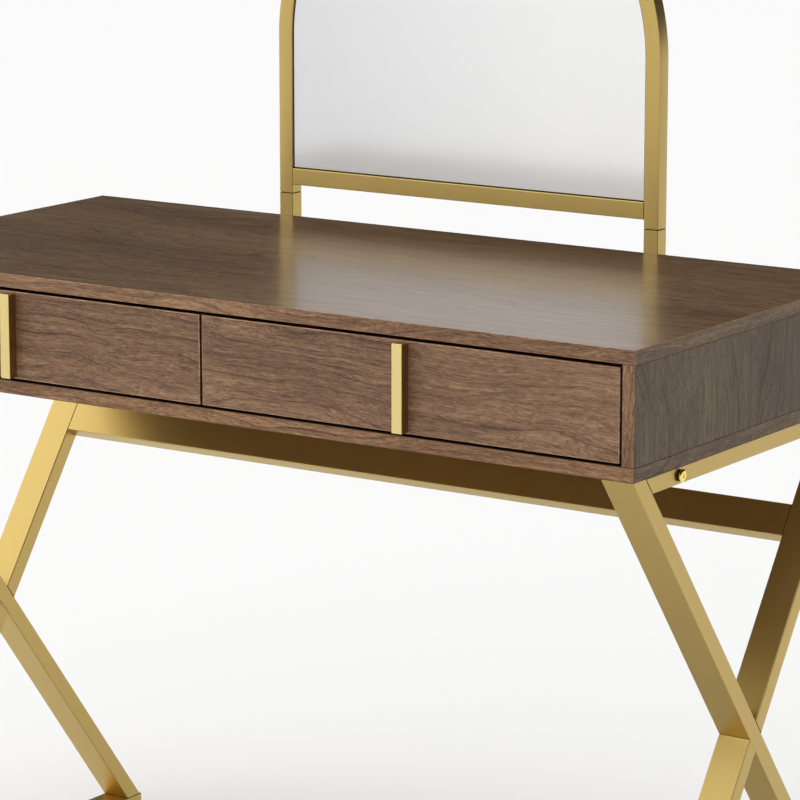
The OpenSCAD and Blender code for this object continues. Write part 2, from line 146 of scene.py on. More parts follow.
def studio_floor():
    """A plain pale floor, the same to the camera and in reflections."""
    mesh = bpy.data.meshes.new("studio_floor")
    r = FLOOR_HALF
    mesh.from_pydata([(-r, -r, 0), (r, -r, 0), (r, r, 0), (-r, r, 0)], [], [(0, 1, 2, 3)])
    floor = bpy.data.objects.new("studio_floor", mesh)
    bpy.context.scene.collection.objects.link(floor)
    material = bpy.data.materials.new("pale_floor")
    material.use_nodes = True
    tree = material.node_tree
    shader = tree.nodes["Principled BSDF"]
    shader.inputs["Base Color"].default_value = FLOOR_COLOUR
    shader.inputs["Roughness"].default_value = 0.95
    shader.inputs["Specular IOR Level"].default_value = 0.1
    mesh.materials.append(material)


studio_world()
studio_sun("broad_front_light", SUN_SIDE, SUN_STRENGTH, SUN_SPREAD)
studio_floor()

# ---- Cabinet ----
# Six boards of 15 mm chipboard faced with satin walnut laminate and edged with matching band.
# Dowels hold them together. The tabletop has the glossiest lacquer, and the faces round the
# drawer bays are uncoated and painted much darker as painted shade, so that the gaps round the
# fronts read as black.
BOARD_EDGE = 0.0005
WALNUT_DARK = (0.058, 0.024, 0.012, 1)
WALNUT_MID = (0.146, 0.075, 0.040, 1)
WALNUT_WARM = (0.212, 0.115, 0.060, 1)
WALNUT_PALE = (0.340, 0.205, 0.115, 1)
PORE = (0.034, 0.015, 0.008, 1)
BLACK = (0, 0, 0, 1)
RINGS_PER_METRE = 105
VEINS_PER_METRE = 38
GRAIN_TURN = {"X": (0, 0, 0), "Y": (0, 0, math.radians(-90)), "Z": (0, math.radians(90), 0)}


def new_material(name):
    """An empty material with its output node, and its tree."""
    material = bpy.data.materials.new(name)
    material.use_nodes = True
    material.node_tree.nodes.clear()
    return material, material.node_tree


def ramp_node(tree, value, stops):
    ramp = tree_node(tree, "ShaderNodeValToRGB", {"Fac": value})
    bar = ramp.color_ramp
    while len(bar.elements) < len(stops):
        bar.elements.new(0.5)
    for element, (place, colour) in zip(bar.elements, stops):
        element.position = place
        element.color = colour
    return ramp.outputs["Color"]


def noise_node(tree, place, stretch, detail=3, rough=0.5):
    """Noise in a space scaled by stretch, in waves per metre along each axis."""
    scaled = tree_node(tree, "ShaderNodeVectorMath", {0: place, 1: stretch}, operation="MULTIPLY")
    noise = tree_node(tree, "ShaderNodeTexNoise", {
        "Vector": scaled.outputs[0], "Scale": 1.0, "Detail": detail, "Roughness": rough})
    return noise.outputs["Fac"]


def walnut(name, along, start, roughness=0.46, coat=0.06, coat_roughness=0.3, lift=1.0, shade_green=0.0,
           warm=0.15):
    """Walnut laminate whose grain runs along an axis. start slides the figure for each board, lift
    makes it lighter or darker, and the green and warm tints turn its colour. On the boards these
    stand for painted light and shade: darker, greener faces are painted as shaded, and paler,
    warmer ones as lit."""
    material, tree = new_material(name)
    place = tree_node(tree, "ShaderNodeTexCoord").outputs["Object"]
    turned = tree_node(tree, "ShaderNodeMapping", {"Vector": place, "Rotation": GRAIN_TURN[along]})
    slid = tree_node(tree, "ShaderNodeVectorMath", {0: turned.outputs[0], 1: start}, operation="ADD")
    slid = slid.outputs[0]
    # The grain flows: slow noise bends it to both sides.
    bend = math_node(tree, "MULTIPLY_ADD", noise_node(tree, slid, (3.6, 8, 8), 2, 0.45), 0.076, -0.038)
    shift = tree_node(tree, "ShaderNodeCombineXYZ", {"X": 0.0, "Y": bend, "Z": bend}).outputs[0]
    at = tree_node(tree, "ShaderNodeVectorMath", {0: slid, 1: shift}, operation="ADD").outputs[0]
    # Growth rings: each darkens slowly and ends sharply, and they fade in and out.
    part = tree_node(tree, "ShaderNodeSeparateXYZ", {"Vector": at})
    across = math_node(tree, "MULTIPLY_ADD", part.outputs["Y"], 0.83, part.outputs["Z"])
    wobble = math_node(tree, "MULTIPLY_ADD", noise_node(tree, at, (7, 40, 40), 3, 0.5), 0.008, across)
    ring = math_node(tree, "FRACT", math_node(tree, "MULTIPLY", wobble, RINGS_PER_METRE))
    ring = math_node(tree, "POWER", ring, 3)
    vein = math_node(tree, "FRACT", math_node(tree, "MULTIPLY", wobble, VEINS_PER_METRE))
    vein = math_node(tree, "POWER", vein, 14)
    fade = ramp_node(tree, noise_node(tree, at, (4, 22, 22), 2, 0.5), [(0.38, BLACK), (0.68, WHITE)])
    streak = noise_node(tree, at, (4.6, 170, 170), 7, 0.76)
    fibre = noise_node(tree, at, (60, 720, 720), 3, 0.8)
    patch = noise_node(tree, slid, (2.4, 9, 9), 2, 0.5)
    tone = math_node(tree, "MULTIPLY", streak, 1.22)
    tone = math_node(tree, "MULTIPLY_ADD", fibre, 1.43, tone)
    tone = math_node(tree, "MULTIPLY_ADD", patch, 0.55, tone)
    tone = math_node(tree, "MULTIPLY_ADD", math_node(tree, "MULTIPLY", ring, fade), -0.17, tone)
    thread = math_node(tree, "MULTIPLY", vein, noise_node(tree, at, (9, 30, 30), 2, 0.5))
    tone = math_node(tree, "MULTIPLY_ADD", thread, -0.60, tone)
    tone = math_node(tree, "ADD", tone, -1.03)
    colour = ramp_node(tree, tone, [
        (0.12, WALNUT_DARK), (0.42, WALNUT_MID), (0.60, WALNUT_WARM), (0.90, WALNUT_PALE)])
    # Pores: short dark dashes along the grain.
    pore = noise_node(tree, at, (110, 1100, 1100), 2, 0.6)
    pore_mask = ramp_node(tree, pore, [(0.57, BLACK), (0.67, WHITE)])
    pored = mix_colour(tree, math_node(tree, "MULTIPLY", pore_mask, 0.7), colour, PORE)
    tint = (lift * (1 - 0.16 * shade_green + 0.05 * warm),
            lift * (1 + 0.04 * shade_green),
            lift * (1 - 0.02 * shade_green - 0.16 * warm), 1)
    toned = mix_colour(tree, 1.0, pored, tint, "MULTIPLY")
    rough = math_node(tree, "MULTIPLY_ADD", fibre, 0.16, roughness - 0.08)
    height = math_node(tree, "MULTIPLY_ADD", pore_mask, -0.6, fibre)
    bump = tree_node(tree, "ShaderNodeBump", {"Height": height, "Strength": 0.16, "Distance": 0.0002})
    return finish_material(material, tree, {
        "Base Color": toned, "Roughness": rough, "Normal": bump.outputs[0], "Specular IOR Level": 0.30,
        "Coat Weight": coat, "Coat Roughness": coat_roughness})


def finish_material(material, tree, inputs):
    """Ends a material with one Principled surface."""
    shader = tree_node(tree, "ShaderNodeBsdfPrincipled", inputs)
    tree_node(tree, "ShaderNodeOutputMaterial", {"Surface": shader.outputs[0]})
    return material


def new_piece(name, shape, body, node_names, materials):
    """Makes the finished object from a bmesh, says what it rides on, and hides the CAD nodes it replaces.
    """
    mesh = bpy.data.meshes.new(name)
    shape.to_mesh(mesh)
    shape.free()
    for material in materials:
        mesh.materials.append(material)
    piece = bpy.data.objects.new(name, mesh)
    bpy.context.scene.collection.objects.link(piece)
    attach(piece, body)
    if node_names:
        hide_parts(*node_names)
    return piece


def body_of_node(node_name):
    return frame["nodes"][node_name]["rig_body"]


def board(node_name, materials, edge=BOARD_EDGE):
    """A board with eased edges. materials are for faces along X, Y and Z, then for the edges."""
    low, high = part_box(node_name)
    shape = bmesh.new()
    bmesh.ops.create_cube(shape, size=1.0)
    middle, size = (low + high) / 2, high - low
    shape.transform(Matrix.Translation(middle) @ Matrix.Diagonal((*size, 1)))
    bmesh.ops.bevel(shape, geom=shape.edges[:], offset=edge, segments=2, profile=0.5, affect="EDGES")
    for face in shape.faces:
        axis = max(range(3), key=lambda i: abs(face.normal[i]))
        face.material_index = axis if abs(face.normal[axis]) > 0.999 else 3
    body = body_of_node(node_name)
    return new_piece(node_name + "_board", shape, body, [node_name], materials)


def face_inward(piece, inward, material):
    """Gives the faces that look one way, into the drawer bays, their own material: the darker walnut
    painted there as shade.
    """
    piece.data.materials.append(material)
    for polygon in piece.data.polygons:
        if polygon.normal.dot(Vector(inward)) > 0.999:
            polygon.material_index = len(piece.data.materials) - 1


# The eased edges of the tabletop and the back are painted pale as a painted highlight along them.
edge_highlight_walnut = walnut("edge_painted_highlight", "X", (0.2, 0.1, 0.4), lift=1.5)
# The eased edges of the bottom and side panels are painted dark as painted shade in the seams where the
# boards meet.
seam_shade_edge = walnut("edge_painted_shade_at_seams", "X", (0.6, 0.5, 0.1), lift=0.45)
# The walnut inside the drawer bays is painted near black as painted shade.
bay_shade_x = walnut("bay_painted_shade_lengthwise", "X", (0.1, 0.8, 0.4), 0.6, 0.0, lift=0.22)
bay_shade_y = walnut("bay_painted_shade_depthwise", "Y", (0.5, 0.2, 0.9), 0.6, 0.0, lift=0.22)
# The tabletop's faces are toned by which way they face, as painted light and shade: its top darker and
# greener, its front paler and warmer, its ends darker and greener.
top_x = walnut("tabletop_lengthwise", "X", (0.0, 0.31, 0.07), 0.40, 0.55, 0.18,
               lift=0.60, shade_green=0.35, warm=0.5)
top_front = walnut("tabletop_front_edge", "X", (0.4, 0.11, 0.02), lift=1.10, warm=0.6)
top_end = walnut("tabletop_end_band", "Y", (0.2, 0.9, 0.3), lift=0.85, shade_green=0.6)
top = board("top_panel", [top_end, top_front, top_x, edge_highlight_walnut])
face_inward(top, (0, 0, -1), bay_shade_x)
# The bottom board likewise: its front and back paler and warmer, its ends darker and greener, its
# underside darker, as painted light and shade.
bottom_x = walnut("bottom_lengthwise", "X", (0.7, 0.21, 0.57), lift=1.15, warm=1.0)
bottom_end = walnut("bottom_end_band", "Y", (0.6, 0.2, 0.8), lift=0.8, shade_green=0.6)
bottom_under = walnut("bottom_underside", "X", (0.3, 0.7, 0.1), 0.6, 0.0, lift=0.7)
bottom = board("bottom_panel", [bottom_end, bottom_x, bottom_under, seam_shade_edge])
face_inward(bottom, (0, 0, 1), bay_shade_x)
# Each side panel's outer face is darker and greener as painted shade, and its front band paler and warmer
# as painted light.
for number, side in enumerate(("left", "right")):
    face = walnut(side + "_side_upright", "Z", (0.9 + number, 0.3, 0.15), lift=0.72, shade_green=1.0)
    band = walnut(side + "_side_front_band", "Z", (1.7 + number, 0.6, 0.2), lift=1.0, warm=0.5)
    upright = board(side + "_side_panel", [face, band, band, seam_shade_edge])
    face_inward(upright, (1 - 2 * number, 0, 0), bay_shade_y)
back_x = walnut("back_lengthwise", "X", (1.9, 0.4, 0.33))
board("back_panel", [back_x, back_x, back_x, edge_highlight_walnut])
# The centre divider is all bay walnut, painted dark as painted shade in the gap between the fronts.
board("centre_divider", [bay_shade_y, bay_shade_y, bay_shade_y, bay_shade_y])


def set_material(node_names, material):
    """Gives CAD nodes that stay as they are their material."""
    for node_name in node_names:
        mesh = frame["nodes"][node_name].data
        mesh.materials.clear()
        mesh.materials.append(material)


def plain_wood(name, along, start, dark, pale, roughness):
    """A close-grained wood or wood foil in two tones."""
    material, tree = new_material(name)
    place = tree_node(tree, "ShaderNodeTexCoord").outputs["Object"]
    turned = tree_node(tree, "ShaderNodeMapping", {
        "Vector": place, "Rotation": GRAIN_TURN[along], "Location": start})
    at = turned.outputs[0]
    streak = noise_node(tree, at, (6, 130, 130), 4, 0.6)
    fibre = noise_node(tree, at, (40, 1100, 1100), 2, 0.6)
    tone = math_node(tree, "MULTIPLY_ADD", fibre, 0.4, math_node(tree, "MULTIPLY", streak, 0.6))
    colour = ramp_node(tree, tone, [(0.32, dark), (0.68, pale)])
    rough = math_node(tree, "MULTIPLY_ADD", fibre, 0.15, roughness - 0.07)
    bump = tree_node(tree, "ShaderNodeBump", {"Height": fibre, "Strength": 0.12, "Distance": 0.0002})
    return finish_material(material, tree, {
        "Base Color": colour, "Roughness": rough, "Normal": bump.outputs[0]})


beech = plain_wood("beech_dowel", "Z", (0, 0, 0), (0.45, 0.29, 0.16, 1), (0.62, 0.44, 0.27, 1), 0.6)
set_material(["cabinet_dowels"], beech)

# ---- Drawers ----
# Each drawer is a walnut-faced front on a box of light wood-foil boards, its thin bottom held
# in grooves. The fronts stand flush in the cabinet's mouth with a dark gap all round: the rims of
# the fronts are painted near black as painted shade in the gap, and their eased edges pale as a
# painted highlight.
FOIL_DARK = (0.30, 0.215, 0.145, 1)
FOIL_PALE = (0.44, 0.335, 0.235, 1)
FRONT_EDGE = 0.0009

foil_y = plain_wood("drawer_foil_lengthwise", "Y", (0.3, 0, 0), FOIL_DARK, FOIL_PALE, 0.5)
# The eased edges of the drawer fronts are painted pale as a painted highlight.
front_edge_highlight = walnut("front_edge_painted_highlight", "X", (0.3, 0.9, 0.5), lift=2.1, warm=-0.3)
front_rim_shade = walnut("front_rim_painted_shade", "X", (0.8, 0.3, 0.2), 0.6, 0.0, lift=0.20)
foil_x = plain_wood("drawer_foil_crosswise", "X", (0.1, 0.5, 0), FOIL_DARK, FOIL_PALE, 0.5)
for number, side in enumerate(("left", "right")):
    face = walnut(side + "_front_lengthwise", "X", (2.3 + 1.1 * number, 0.7, 0.63 + 0.2 * number))
    board(side + "_drawer_front", [front_rim_shade, face, front_rim_shade, front_edge_highlight], FRONT_EDGE)
    for part in ("outer_side", "inner_side"):
        board(f"{side}_drawer_{part}", [foil_y] * 4)
    for part in ("back", "bottom"):
        board(f"{side}_drawer_{part}", [foil_x] * 4)

# ---- Handles ----
# A solid square-edged brass bar stands upright on each front, brushed along its length, and two
# machine screws from inside the drawer hold it. Its two side faces are painted darker, as painted
# shade.
HANDLE_EDGE = 0.0006
BRASS_BRUSH = (1800, 1800, 60)


def metal(name, colour, roughness, grain=0.0, brushed=None, sparkle=0.0, bump_strength=0.04):
    """Metal with a little unevenness. grain is the speckle of a metallic powder coat, brushed the
    stretch of its scratches in waves per metre, and sparkle how far the speckle's colour varies."""
    material, tree = new_material(name)
    place = tree_node(tree, "ShaderNodeTexCoord").outputs["Object"]
    cloud = noise_node(tree, place, (14, 14, 14), 3, 0.6)
    speck = noise_node(tree, place, brushed or (2600, 2600, 2600), 2, 0.6)
    shade = math_node(tree, "MULTIPLY_ADD", speck, sparkle, math_node(tree, "MULTIPLY", cloud, 0.10))
    dark = tuple(c * (0.95 - 0.5 * sparkle) for c in colour) + (1,)
    pale = tuple(min(1.0, c * (1.05 + 0.5 * sparkle)) for c in colour) + (1,)
    tinted = mix_colour(tree, shade, dark, pale)
    even = math_node(tree, "MULTIPLY_ADD", cloud, 0.06, roughness - 0.03 - grain / 2)
    rough = math_node(tree, "MULTIPLY_ADD", speck, grain, even)
    bump = tree_node(tree, "ShaderNodeBump", {
        "Height": speck, "Strength": bump_strength, "Distance": 0.0001})
    return finish_material(material, tree, {
        "Base Color": tinted, "Metallic": 1.0, "Roughness": rough, "Normal": bump.outputs[0]})


brushed_brass = metal("brushed_brass", (0.95, 0.69, 0.29), 0.30, 0.10, BRASS_BRUSH, 0.5, 0.08)
# The handles' side faces get a dark brass as painted shade.
brass_side_shade = metal("brass_handle_side_painted_shade", (0.40, 0.26, 0.09), 0.36, 0.10, BRASS_BRUSH, 0.5, 0.08)
for side in ("left", "right"):
    board(side + "_drawer_handle", [brass_side_shade] + [brushed_brass] * 3, HANDLE_EDGE)

# ---- Screws ----
# Zinc-plated pan-head screws with a cross recess. They hold the handles, the slides, the
# cabinet to its cross rails and the clips behind the mirror.
HANDLE_SCREW_R = 0.004
HANDLE_SCREW_H = 0.0024
HEAD_STEPS = 24
zinc = metal("zinc_plate", (0.62, 0.64, 0.66), 0.28, 0.10, None, 0.3)


def lathe(shape, outline, steps):
    """Turns an outline of (radius, height) points from the axis out and back into a closed solid."""
    rings = []
    for radius, height in outline:
        if radius == 0:
            rings.append([shape.verts.new((0, 0, height))])
        else:
            turns = [2 * math.pi * k / steps for k in range(steps)]
            rings.append([shape.verts.new((radius * math.cos(turn), radius * math.sin(turn), height))
                          for turn in turns])
    for one, two in zip(rings, rings[1:]):
        for k in range(steps):
            n = (k + 1) % steps
            corners = [one[k % len(one)], one[n % len(one)], two[n % len(two)], two[k % len(two)]]
            shape.faces.new(list(dict.fromkeys(corners)))
    bmesh.ops.recalc_face_normals(shape, faces=shape.faces[:])


def loose_object(name, shape):
    """An object outside the scene, for geometry nodes to copy."""
    mesh = bpy.data.meshes.new(name)
    shape.to_mesh(mesh)
    shape.free()
    return bpy.data.objects.new(name, mesh)


def pan_head(name, radius, height):
    """A loose screw head standing on Z = 0, with four slots pressed into its dome."""
    shape = bmesh.new()
    dome = [(0, 0.62), (0.12, 0.62), (0.52, 0.94), (0.75, 0.84), (0.93, 0.55), (1, 0.25), (1, 0), (0, 0)]
    lathe(shape, [(radius * across, height * up) for across, up in dome], HEAD_STEPS)
    for vertex in shape.verts:
        far = math.hypot(vertex.co.x, vertex.co.y)
        turn = math.atan2(vertex.co.y, vertex.co.x)
        if radius * 0.4 < far < radius * 0.6 and abs(math.sin(2 * turn)) < 0.3:
            vertex.co.z -= height * 0.28
    return loose_object(name, shape)


def scatter_tree(name):
    """Geometry nodes that stand a copy of one object on each point, turned to a direction."""
    tree = bpy.data.node_groups.new(name, "GeometryNodeTree")
    face = tree.interface
    face.new_socket("Points", in_out="INPUT", socket_type="NodeSocketGeometry")
    face.new_socket("Piece", in_out="INPUT", socket_type="NodeSocketObject")
    face.new_socket("Direction", in_out="INPUT", socket_type="NodeSocketVector")
    face.new_socket("Finish", in_out="INPUT", socket_type="NodeSocketMaterial")
    face.new_socket("Geometry", in_out="OUTPUT", socket_type="NodeSocketGeometry")
    start = tree.nodes.new("NodeGroupInput")
    piece = tree_node(tree, "GeometryNodeObjectInfo", {"Object": start.outputs["Piece"]})
    turn = tree_node(tree, "FunctionNodeAlignRotationToVector", {"Vector": start.outputs["Direction"]},
                     axis="Z")
    placed = tree_node(tree, "GeometryNodeInstanceOnPoints", {
        "Points": start.outputs["Points"], "Instance": piece.outputs["Geometry"],
        "Rotation": turn.outputs[0]})
    real = tree_node(tree, "GeometryNodeRealizeInstances", {"Geometry": placed.outputs[0]})
    coloured = tree_node(tree, "GeometryNodeSetMaterial", {
        "Geometry": real.outputs[0], "Material": start.outputs["Finish"]})
    tree_node(tree, "NodeGroupOutput", {0: coloured.outputs[0]})
    return tree


def grown(name, points, tree, inputs, body, node_names=()):
    """Runs a geometry nodes tree on points and keeps the result as a plain mesh piece."""
    seed = bpy.data.meshes.new(name + "_points")
    seed.from_pydata([tuple(p) for p in points], [], [])
    holder = bpy.data.objects.new(name + "_points", seed)
    bpy.context.scene.collection.objects.link(holder)
    modifier = holder.modifiers.new("grow", "NODES")
    modifier.node_group = tree
    for item in tree.interface.items_tree:
        if item.in_out == "INPUT" and item.name in inputs:
            modifier[item.identifier] = inputs[item.name]
    bpy.context.view_layer.update()
    finished = holder.evaluated_get(bpy.context.evaluated_depsgraph_get())
    grown_mesh = bpy.data.meshes.new_from_object(finished)
    grown_mesh.name = name
    bpy.data.objects.remove(holder)
    piece = bpy.data.objects.new(name, grown_mesh)
    bpy.context.scene.collection.objects.link(piece)
    grown_mesh.shade_smooth()
    grown_mesh.set_sharp_from_angle(angle=math.radians(35))
    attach(piece, body)
    if node_names:
        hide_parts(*node_names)
    return piece


def stand(name, spots, piece, direction, finish, node_names=(), body="cabinet_and_frame"):
    """Stands copies of a loose object on the spots, facing one way."""
    return grown(name, spots, scatter, {"Piece": piece, "Direction": direction, "Finish": finish},
                 body, node_names)


scatter = scatter_tree("stand_on_points")
handle_screw = pan_head("handle_screw_head", HANDLE_SCREW_R, HANDLE_SCREW_H)
for side in ("left", "right"):
    low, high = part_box(side + "_handle_screws")
    middle = (low + high) / 2
    reach = high.z - low.z - 2 * HANDLE_SCREW_R
    spots = [(middle.x, high.y - HANDLE_SCREW_H, middle.z + sign * reach / 2) for sign in (-1, 1)]
    stand(side + "_handle_screw_heads", spots, handle_screw, (0, 1, 0), zinc,
          [side + "_handle_screws"], side + "_drawer")

# ---- Ball slides ----
# Three nested channels of rolled zinc-plated steel run on rows of steel balls. The outer one is
# screwed to the cabinet, the inner one to the drawer's box, and the middle one runs half as far.
BALL_R = 0.00145
BALLS_IN_ROW = 16
BALL_STEP = 0.0088
BALL_START = 0.02
CHANNEL_WALL = 0.0012
SLIDE_EDGE = 0.00025
SAME_POINT = 1e-6
slide_steel = metal("rolled_steel", (0.56, 0.57, 0.58), 0.34, 0.08, (900, 40, 900), 0.3)
ball_steel = metal("ball_steel", (0.75, 0.75, 0.76), 0.12)


def eased_copy(node_name, edge, segments, finish):
    """A copy of a CAD node with its corners eased, in place of the node."""
    shape = bmesh.new()
    shape.from_mesh(frame["nodes"][node_name].data)
    bmesh.ops.remove_doubles(shape, verts=shape.verts[:], dist=SAME_POINT)
    flat = math.radians(2)
    bmesh.ops.dissolve_limit(shape, angle_limit=flat, verts=shape.verts[:], edges=shape.edges[:])
    sharp = [e for e in shape.edges if len(e.link_faces) == 2 and e.calc_face_angle() > math.radians(30)]
    bmesh.ops.bevel(shape, geom=sharp, offset=edge, segments=segments, profile=0.5, affect="EDGES",
                    clamp_overlap=True)
    body = body_of_node(node_name)
    return new_piece(node_name + "_eased", shape, body, [node_name], [finish])


ball_shape = bmesh.new()
bmesh.ops.create_uvsphere(ball_shape, u_segments=12, v_segments=8, radius=BALL_R)
slide_ball = loose_object("slide_ball", ball_shape)
for side in ("left", "right"):
    for place in ("outer", "inner"):
        name = f"{side}_{place}_slide"
        for member in ("channel", "middle", "runner"):
            eased_copy(f"{name}_{member}", SLIDE_EDGE, 1, slide_steel)
        channel_low, channel_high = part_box(name + "_channel")
        middle_low, middle_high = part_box(name + "_middle")
        ball_x = (max(channel_low.x, middle_low.x) + min(channel_high.x, middle_high.x)) / 2
        gap = (channel_high.z - CHANNEL_WALL - middle_high.z) / 2
        rows = [middle_high.z + gap, middle_low.z - gap]
        balls = [(ball_x, middle_low.y + BALL_START + BALL_STEP * k, z)
                 for k in range(BALLS_IN_ROW) for z in rows]
        stand(name + "_balls", balls, slide_ball, (0, 0, 1), ball_steel, (),
              name + "_middle_member")

# ---- Side frames ----
# Two welded X frames of rectangular steel tube with a satin champagne-gold metallic coat. In
# each, one long leg runs through and two half legs meet it, between a top rail and a floor rail.
TUBE_CORNER = 0.0011
TUBE_END = 0.0004
gold_coat = metal("champagne_gold_coat", (0.62, 0.445, 0.150), 0.33, 0.16, None, 0.55, 0.05)
# The cut-end rings of the tubes are painted near black as painted shade in the seams between tubes.
seam_shade_gold = metal("painted_shade_in_seams", (0.080, 0.045, 0.015), 0.45, 0.16, None, 0.55, 0.05)


def tube_piece(node_name, end=TUBE_END):
    """The outside of a straight tube: rounded along its length, with a ring at its cut ends painted dark
    as painted shade in the seams.
    """
    shape = bmesh.new()
    for vertex in frame["nodes"][node_name].data.vertices:
        shape.verts.new(vertex.co)
    bmesh.ops.remove_doubles(shape, verts=shape.verts[:], dist=SAME_POINT)
    hull = bmesh.ops.convex_hull(shape, input=shape.verts[:])
    inside = [v for v in hull["geom_interior"] if isinstance(v, bmesh.types.BMVert)]
    bmesh.ops.delete(shape, geom=inside, context="VERTS")
    flat = math.radians(1)
    bmesh.ops.dissolve_limit(shape, angle_limit=flat, verts=shape.verts[:], edges=shape.edges[:])
    longest = max(shape.edges, key=lambda e: e.calc_length())
    along = (longest.verts[1].co - longest.verts[0].co).normalized()
    lengthwise = [e for e in shape.edges
                  if abs((e.verts[1].co - e.verts[0].co).normalized().dot(along)) > 0.98]
    bmesh.ops.bevel(shape, geom=lengthwise, offset=TUBE_CORNER, segments=3, profile=0.5, affect="EDGES")
    caps = [f for f in shape.faces if len(f.verts) > 4]
    rims = list({e for f in caps for e in f.edges})
    ring = bmesh.ops.bevel(shape, geom=rims, offset=end, segments=1, profile=0.5, affect="EDGES")
    for face in ring["faces"]:
        face.material_index = 1
    piece = new_piece(node_name + "_tube", shape, body_of_node(node_name), [node_name],
                      [gold_coat, seam_shade_gold])
    piece.data.shade_smooth()
    weighted = piece.modifiers.new("even_shading", "WEIGHTED_NORMAL")
    weighted.weight = 100
    return piece


for side in ("left", "right"):
    for part in ("long_leg", "split_leg_upper", "split_leg_lower", "top_rail", "floor_rail"):
        tube_piece(f"{side}_{part}")

# ---- Cross members ----
# A stretcher in the slope of the rear legs keeps the frames apart. Two rails under the cabinet
# tie their tops: a polished brass cap bolt at each end, dark under its head where a black ring
# stands as painted shade, and screws up into the cabinet.
tube_piece("rear_stretcher")
tube_piece("front_cross_rail")
tube_piece("rear_cross_rail")

polished_brass = metal("polished_brass", (0.97, 0.80, 0.24), 0.08)
# Black oxide steel, used also for the black ring under each bolt head, where it stands as painted shade.
black_oxide_and_shade = metal("black_oxide_steel_and_painted_shade", (0.055, 0.035, 0.030), 0.22, 0.10, None, 0.3)
BOLT_HEAD_R = 0.0068
BOLT_COLLAR_R = BOLT_HEAD_R * 0.94
BOLT_COLLAR_H = 0.0026
BOLT_STEPS = 48
FIXING_SCREW_R = 0.0045
FIXING_SCREW_H = 0.0024


def cap_bolt_head(radius, height):
    """A domed bolt head with a six-sided socket, standing on Z = 0."""
    shape = bmesh.new()
    socket = radius * 0.38
    profile = [(0, 0.45), (0.38, 0.45), (0.38, 0.985), (0.70, 0.90), (0.90, 0.76), (1, 0.55),
               (1, 0.05), (0.97, 0), (0, 0)]
    lathe(shape, [(radius * across, height * up) for across, up in profile], BOLT_STEPS)
    for vertex in shape.verts:
        far = math.hypot(vertex.co.x, vertex.co.y)
        if abs(far - socket) < SAME_POINT:
            turn = math.atan2(vertex.co.y, vertex.co.x) % math.radians(60) - math.radians(30)
            flat = math.cos(math.radians(30)) / math.cos(turn)
            vertex.co.x *= flat
            vertex.co.y *= flat
    return loose_object("cap_bolt_head", shape)


bolts_low, bolts_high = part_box("frame_bolts")
rail_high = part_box("right_top_rail")[1]
bolt_height = bolts_high.x - rail_high.x
bolt_head = cap_bolt_head(BOLT_HEAD_R, bolt_height - BOLT_COLLAR_H)
# The black ring under each bolt head is painted shade.
collar_shape = bmesh.new()
lathe(collar_shape, [(0, BOLT_COLLAR_H), (BOLT_COLLAR_R, BOLT_COLLAR_H), (BOLT_COLLAR_R, 0), (0, 0)],
      BOLT_STEPS)
bolt_shade_collar = loose_object("cap_bolt_collar", collar_shape)
bolt_z = (bolts_low.z + bolts_high.z) / 2
for side, sign in (("left", -1), ("right", 1)):
    rows = (bolts_low.y + BOLT_HEAD_R, bolts_high.y - BOLT_HEAD_R)
    spots = [(sign * rail_high.x, y, bolt_z) for y in rows]
    stand(side + "_frame_bolt_collars", spots, bolt_shade_collar, (sign, 0, 0), black_oxide_and_shade)
    spots = [(sign * (rail_high.x + BOLT_COLLAR_H), y, bolt_z) for y in rows]
    stand(side + "_frame_bolt_heads", spots, bolt_head, (sign, 0, 0), polished_brass,
          ["frame_bolts"] if side == "left" else [])

screws_low, screws_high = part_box("cabinet_fixing_screws")
fixing_screw = pan_head("fixing_screw_head", FIXING_SCREW_R, FIXING_SCREW_H)
spots = [(x, y, screws_low.z + FIXING_SCREW_H)
         for x in (screws_low.x + FIXING_SCREW_R, 0, screws_high.x - FIXING_SCREW_R)
         for y in (screws_low.y + FIXING_SCREW_R, screws_high.y - FIXING_SCREW_R)]
stand("cabinet_fixing_screw_heads", spots, fixing_screw, (0, 0, -1), zinc,
      ["cabinet_fixing_screws"])

# ---- Glide feet ----
# Four low black plastic feet, moulded in one piece each. They are pressed into the undersides of
# the floor rails near their ends, and keep the metal off the floor.
GLIDE_R = 0.012
GLIDE_H = 0.003
GLIDE_STEPS = 32


def moulded(name, colour, roughness):
    """Fine-textured matt plastic or black-faced board."""
    material, tree = new_material(name)
    place = tree_node(tree, "ShaderNodeTexCoord").outputs["Object"]
    cloud = noise_node(tree, place, (40, 40, 40), 3, 0.6)
    speck = noise_node(tree, place, (1600, 1600, 1600), 2, 0.6)
    dark = tuple(c * 0.75 for c in colour) + (1,)
    pale = tuple(c * 1.3 for c in colour) + (1,)
    tinted = mix_colour(tree, cloud, dark, pale)
    rough = math_node(tree, "MULTIPLY_ADD", speck, 0.2, roughness - 0.1)
    bump = tree_node(tree, "ShaderNodeBump", {"Height": speck, "Strength": 0.15, "Distance": 0.0001})
    return finish_material(material, tree, {
        "Base Color": tinted, "Roughness": rough, "Normal": bump.outputs[0]})


black_plastic = moulded("black_plastic", (0.022, 0.022, 0.023), 0.55)
glides_low, glides_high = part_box("glide_feet")
glide_shape = bmesh.new()
glide_profile = [(0, 1), (1, 1), (1, 0.4), (0.93, 0.08), (0.88, 0), (0, 0)]
lathe(glide_shape, [(GLIDE_R * across, GLIDE_H * up) for across, up in glide_profile], GLIDE_STEPS)
glide_foot = loose_object("glide_foot", glide_shape)
spots = [(x, y, 0) for x in (glides_low.x + GLIDE_R, glides_high.x - GLIDE_R)
         for y in (glides_low.y + GLIDE_R, glides_high.y - GLIDE_R)]
stand("glide_feet_moulded", spots, glide_foot, (0, 0, 1), black_plastic, ["glide_feet"])

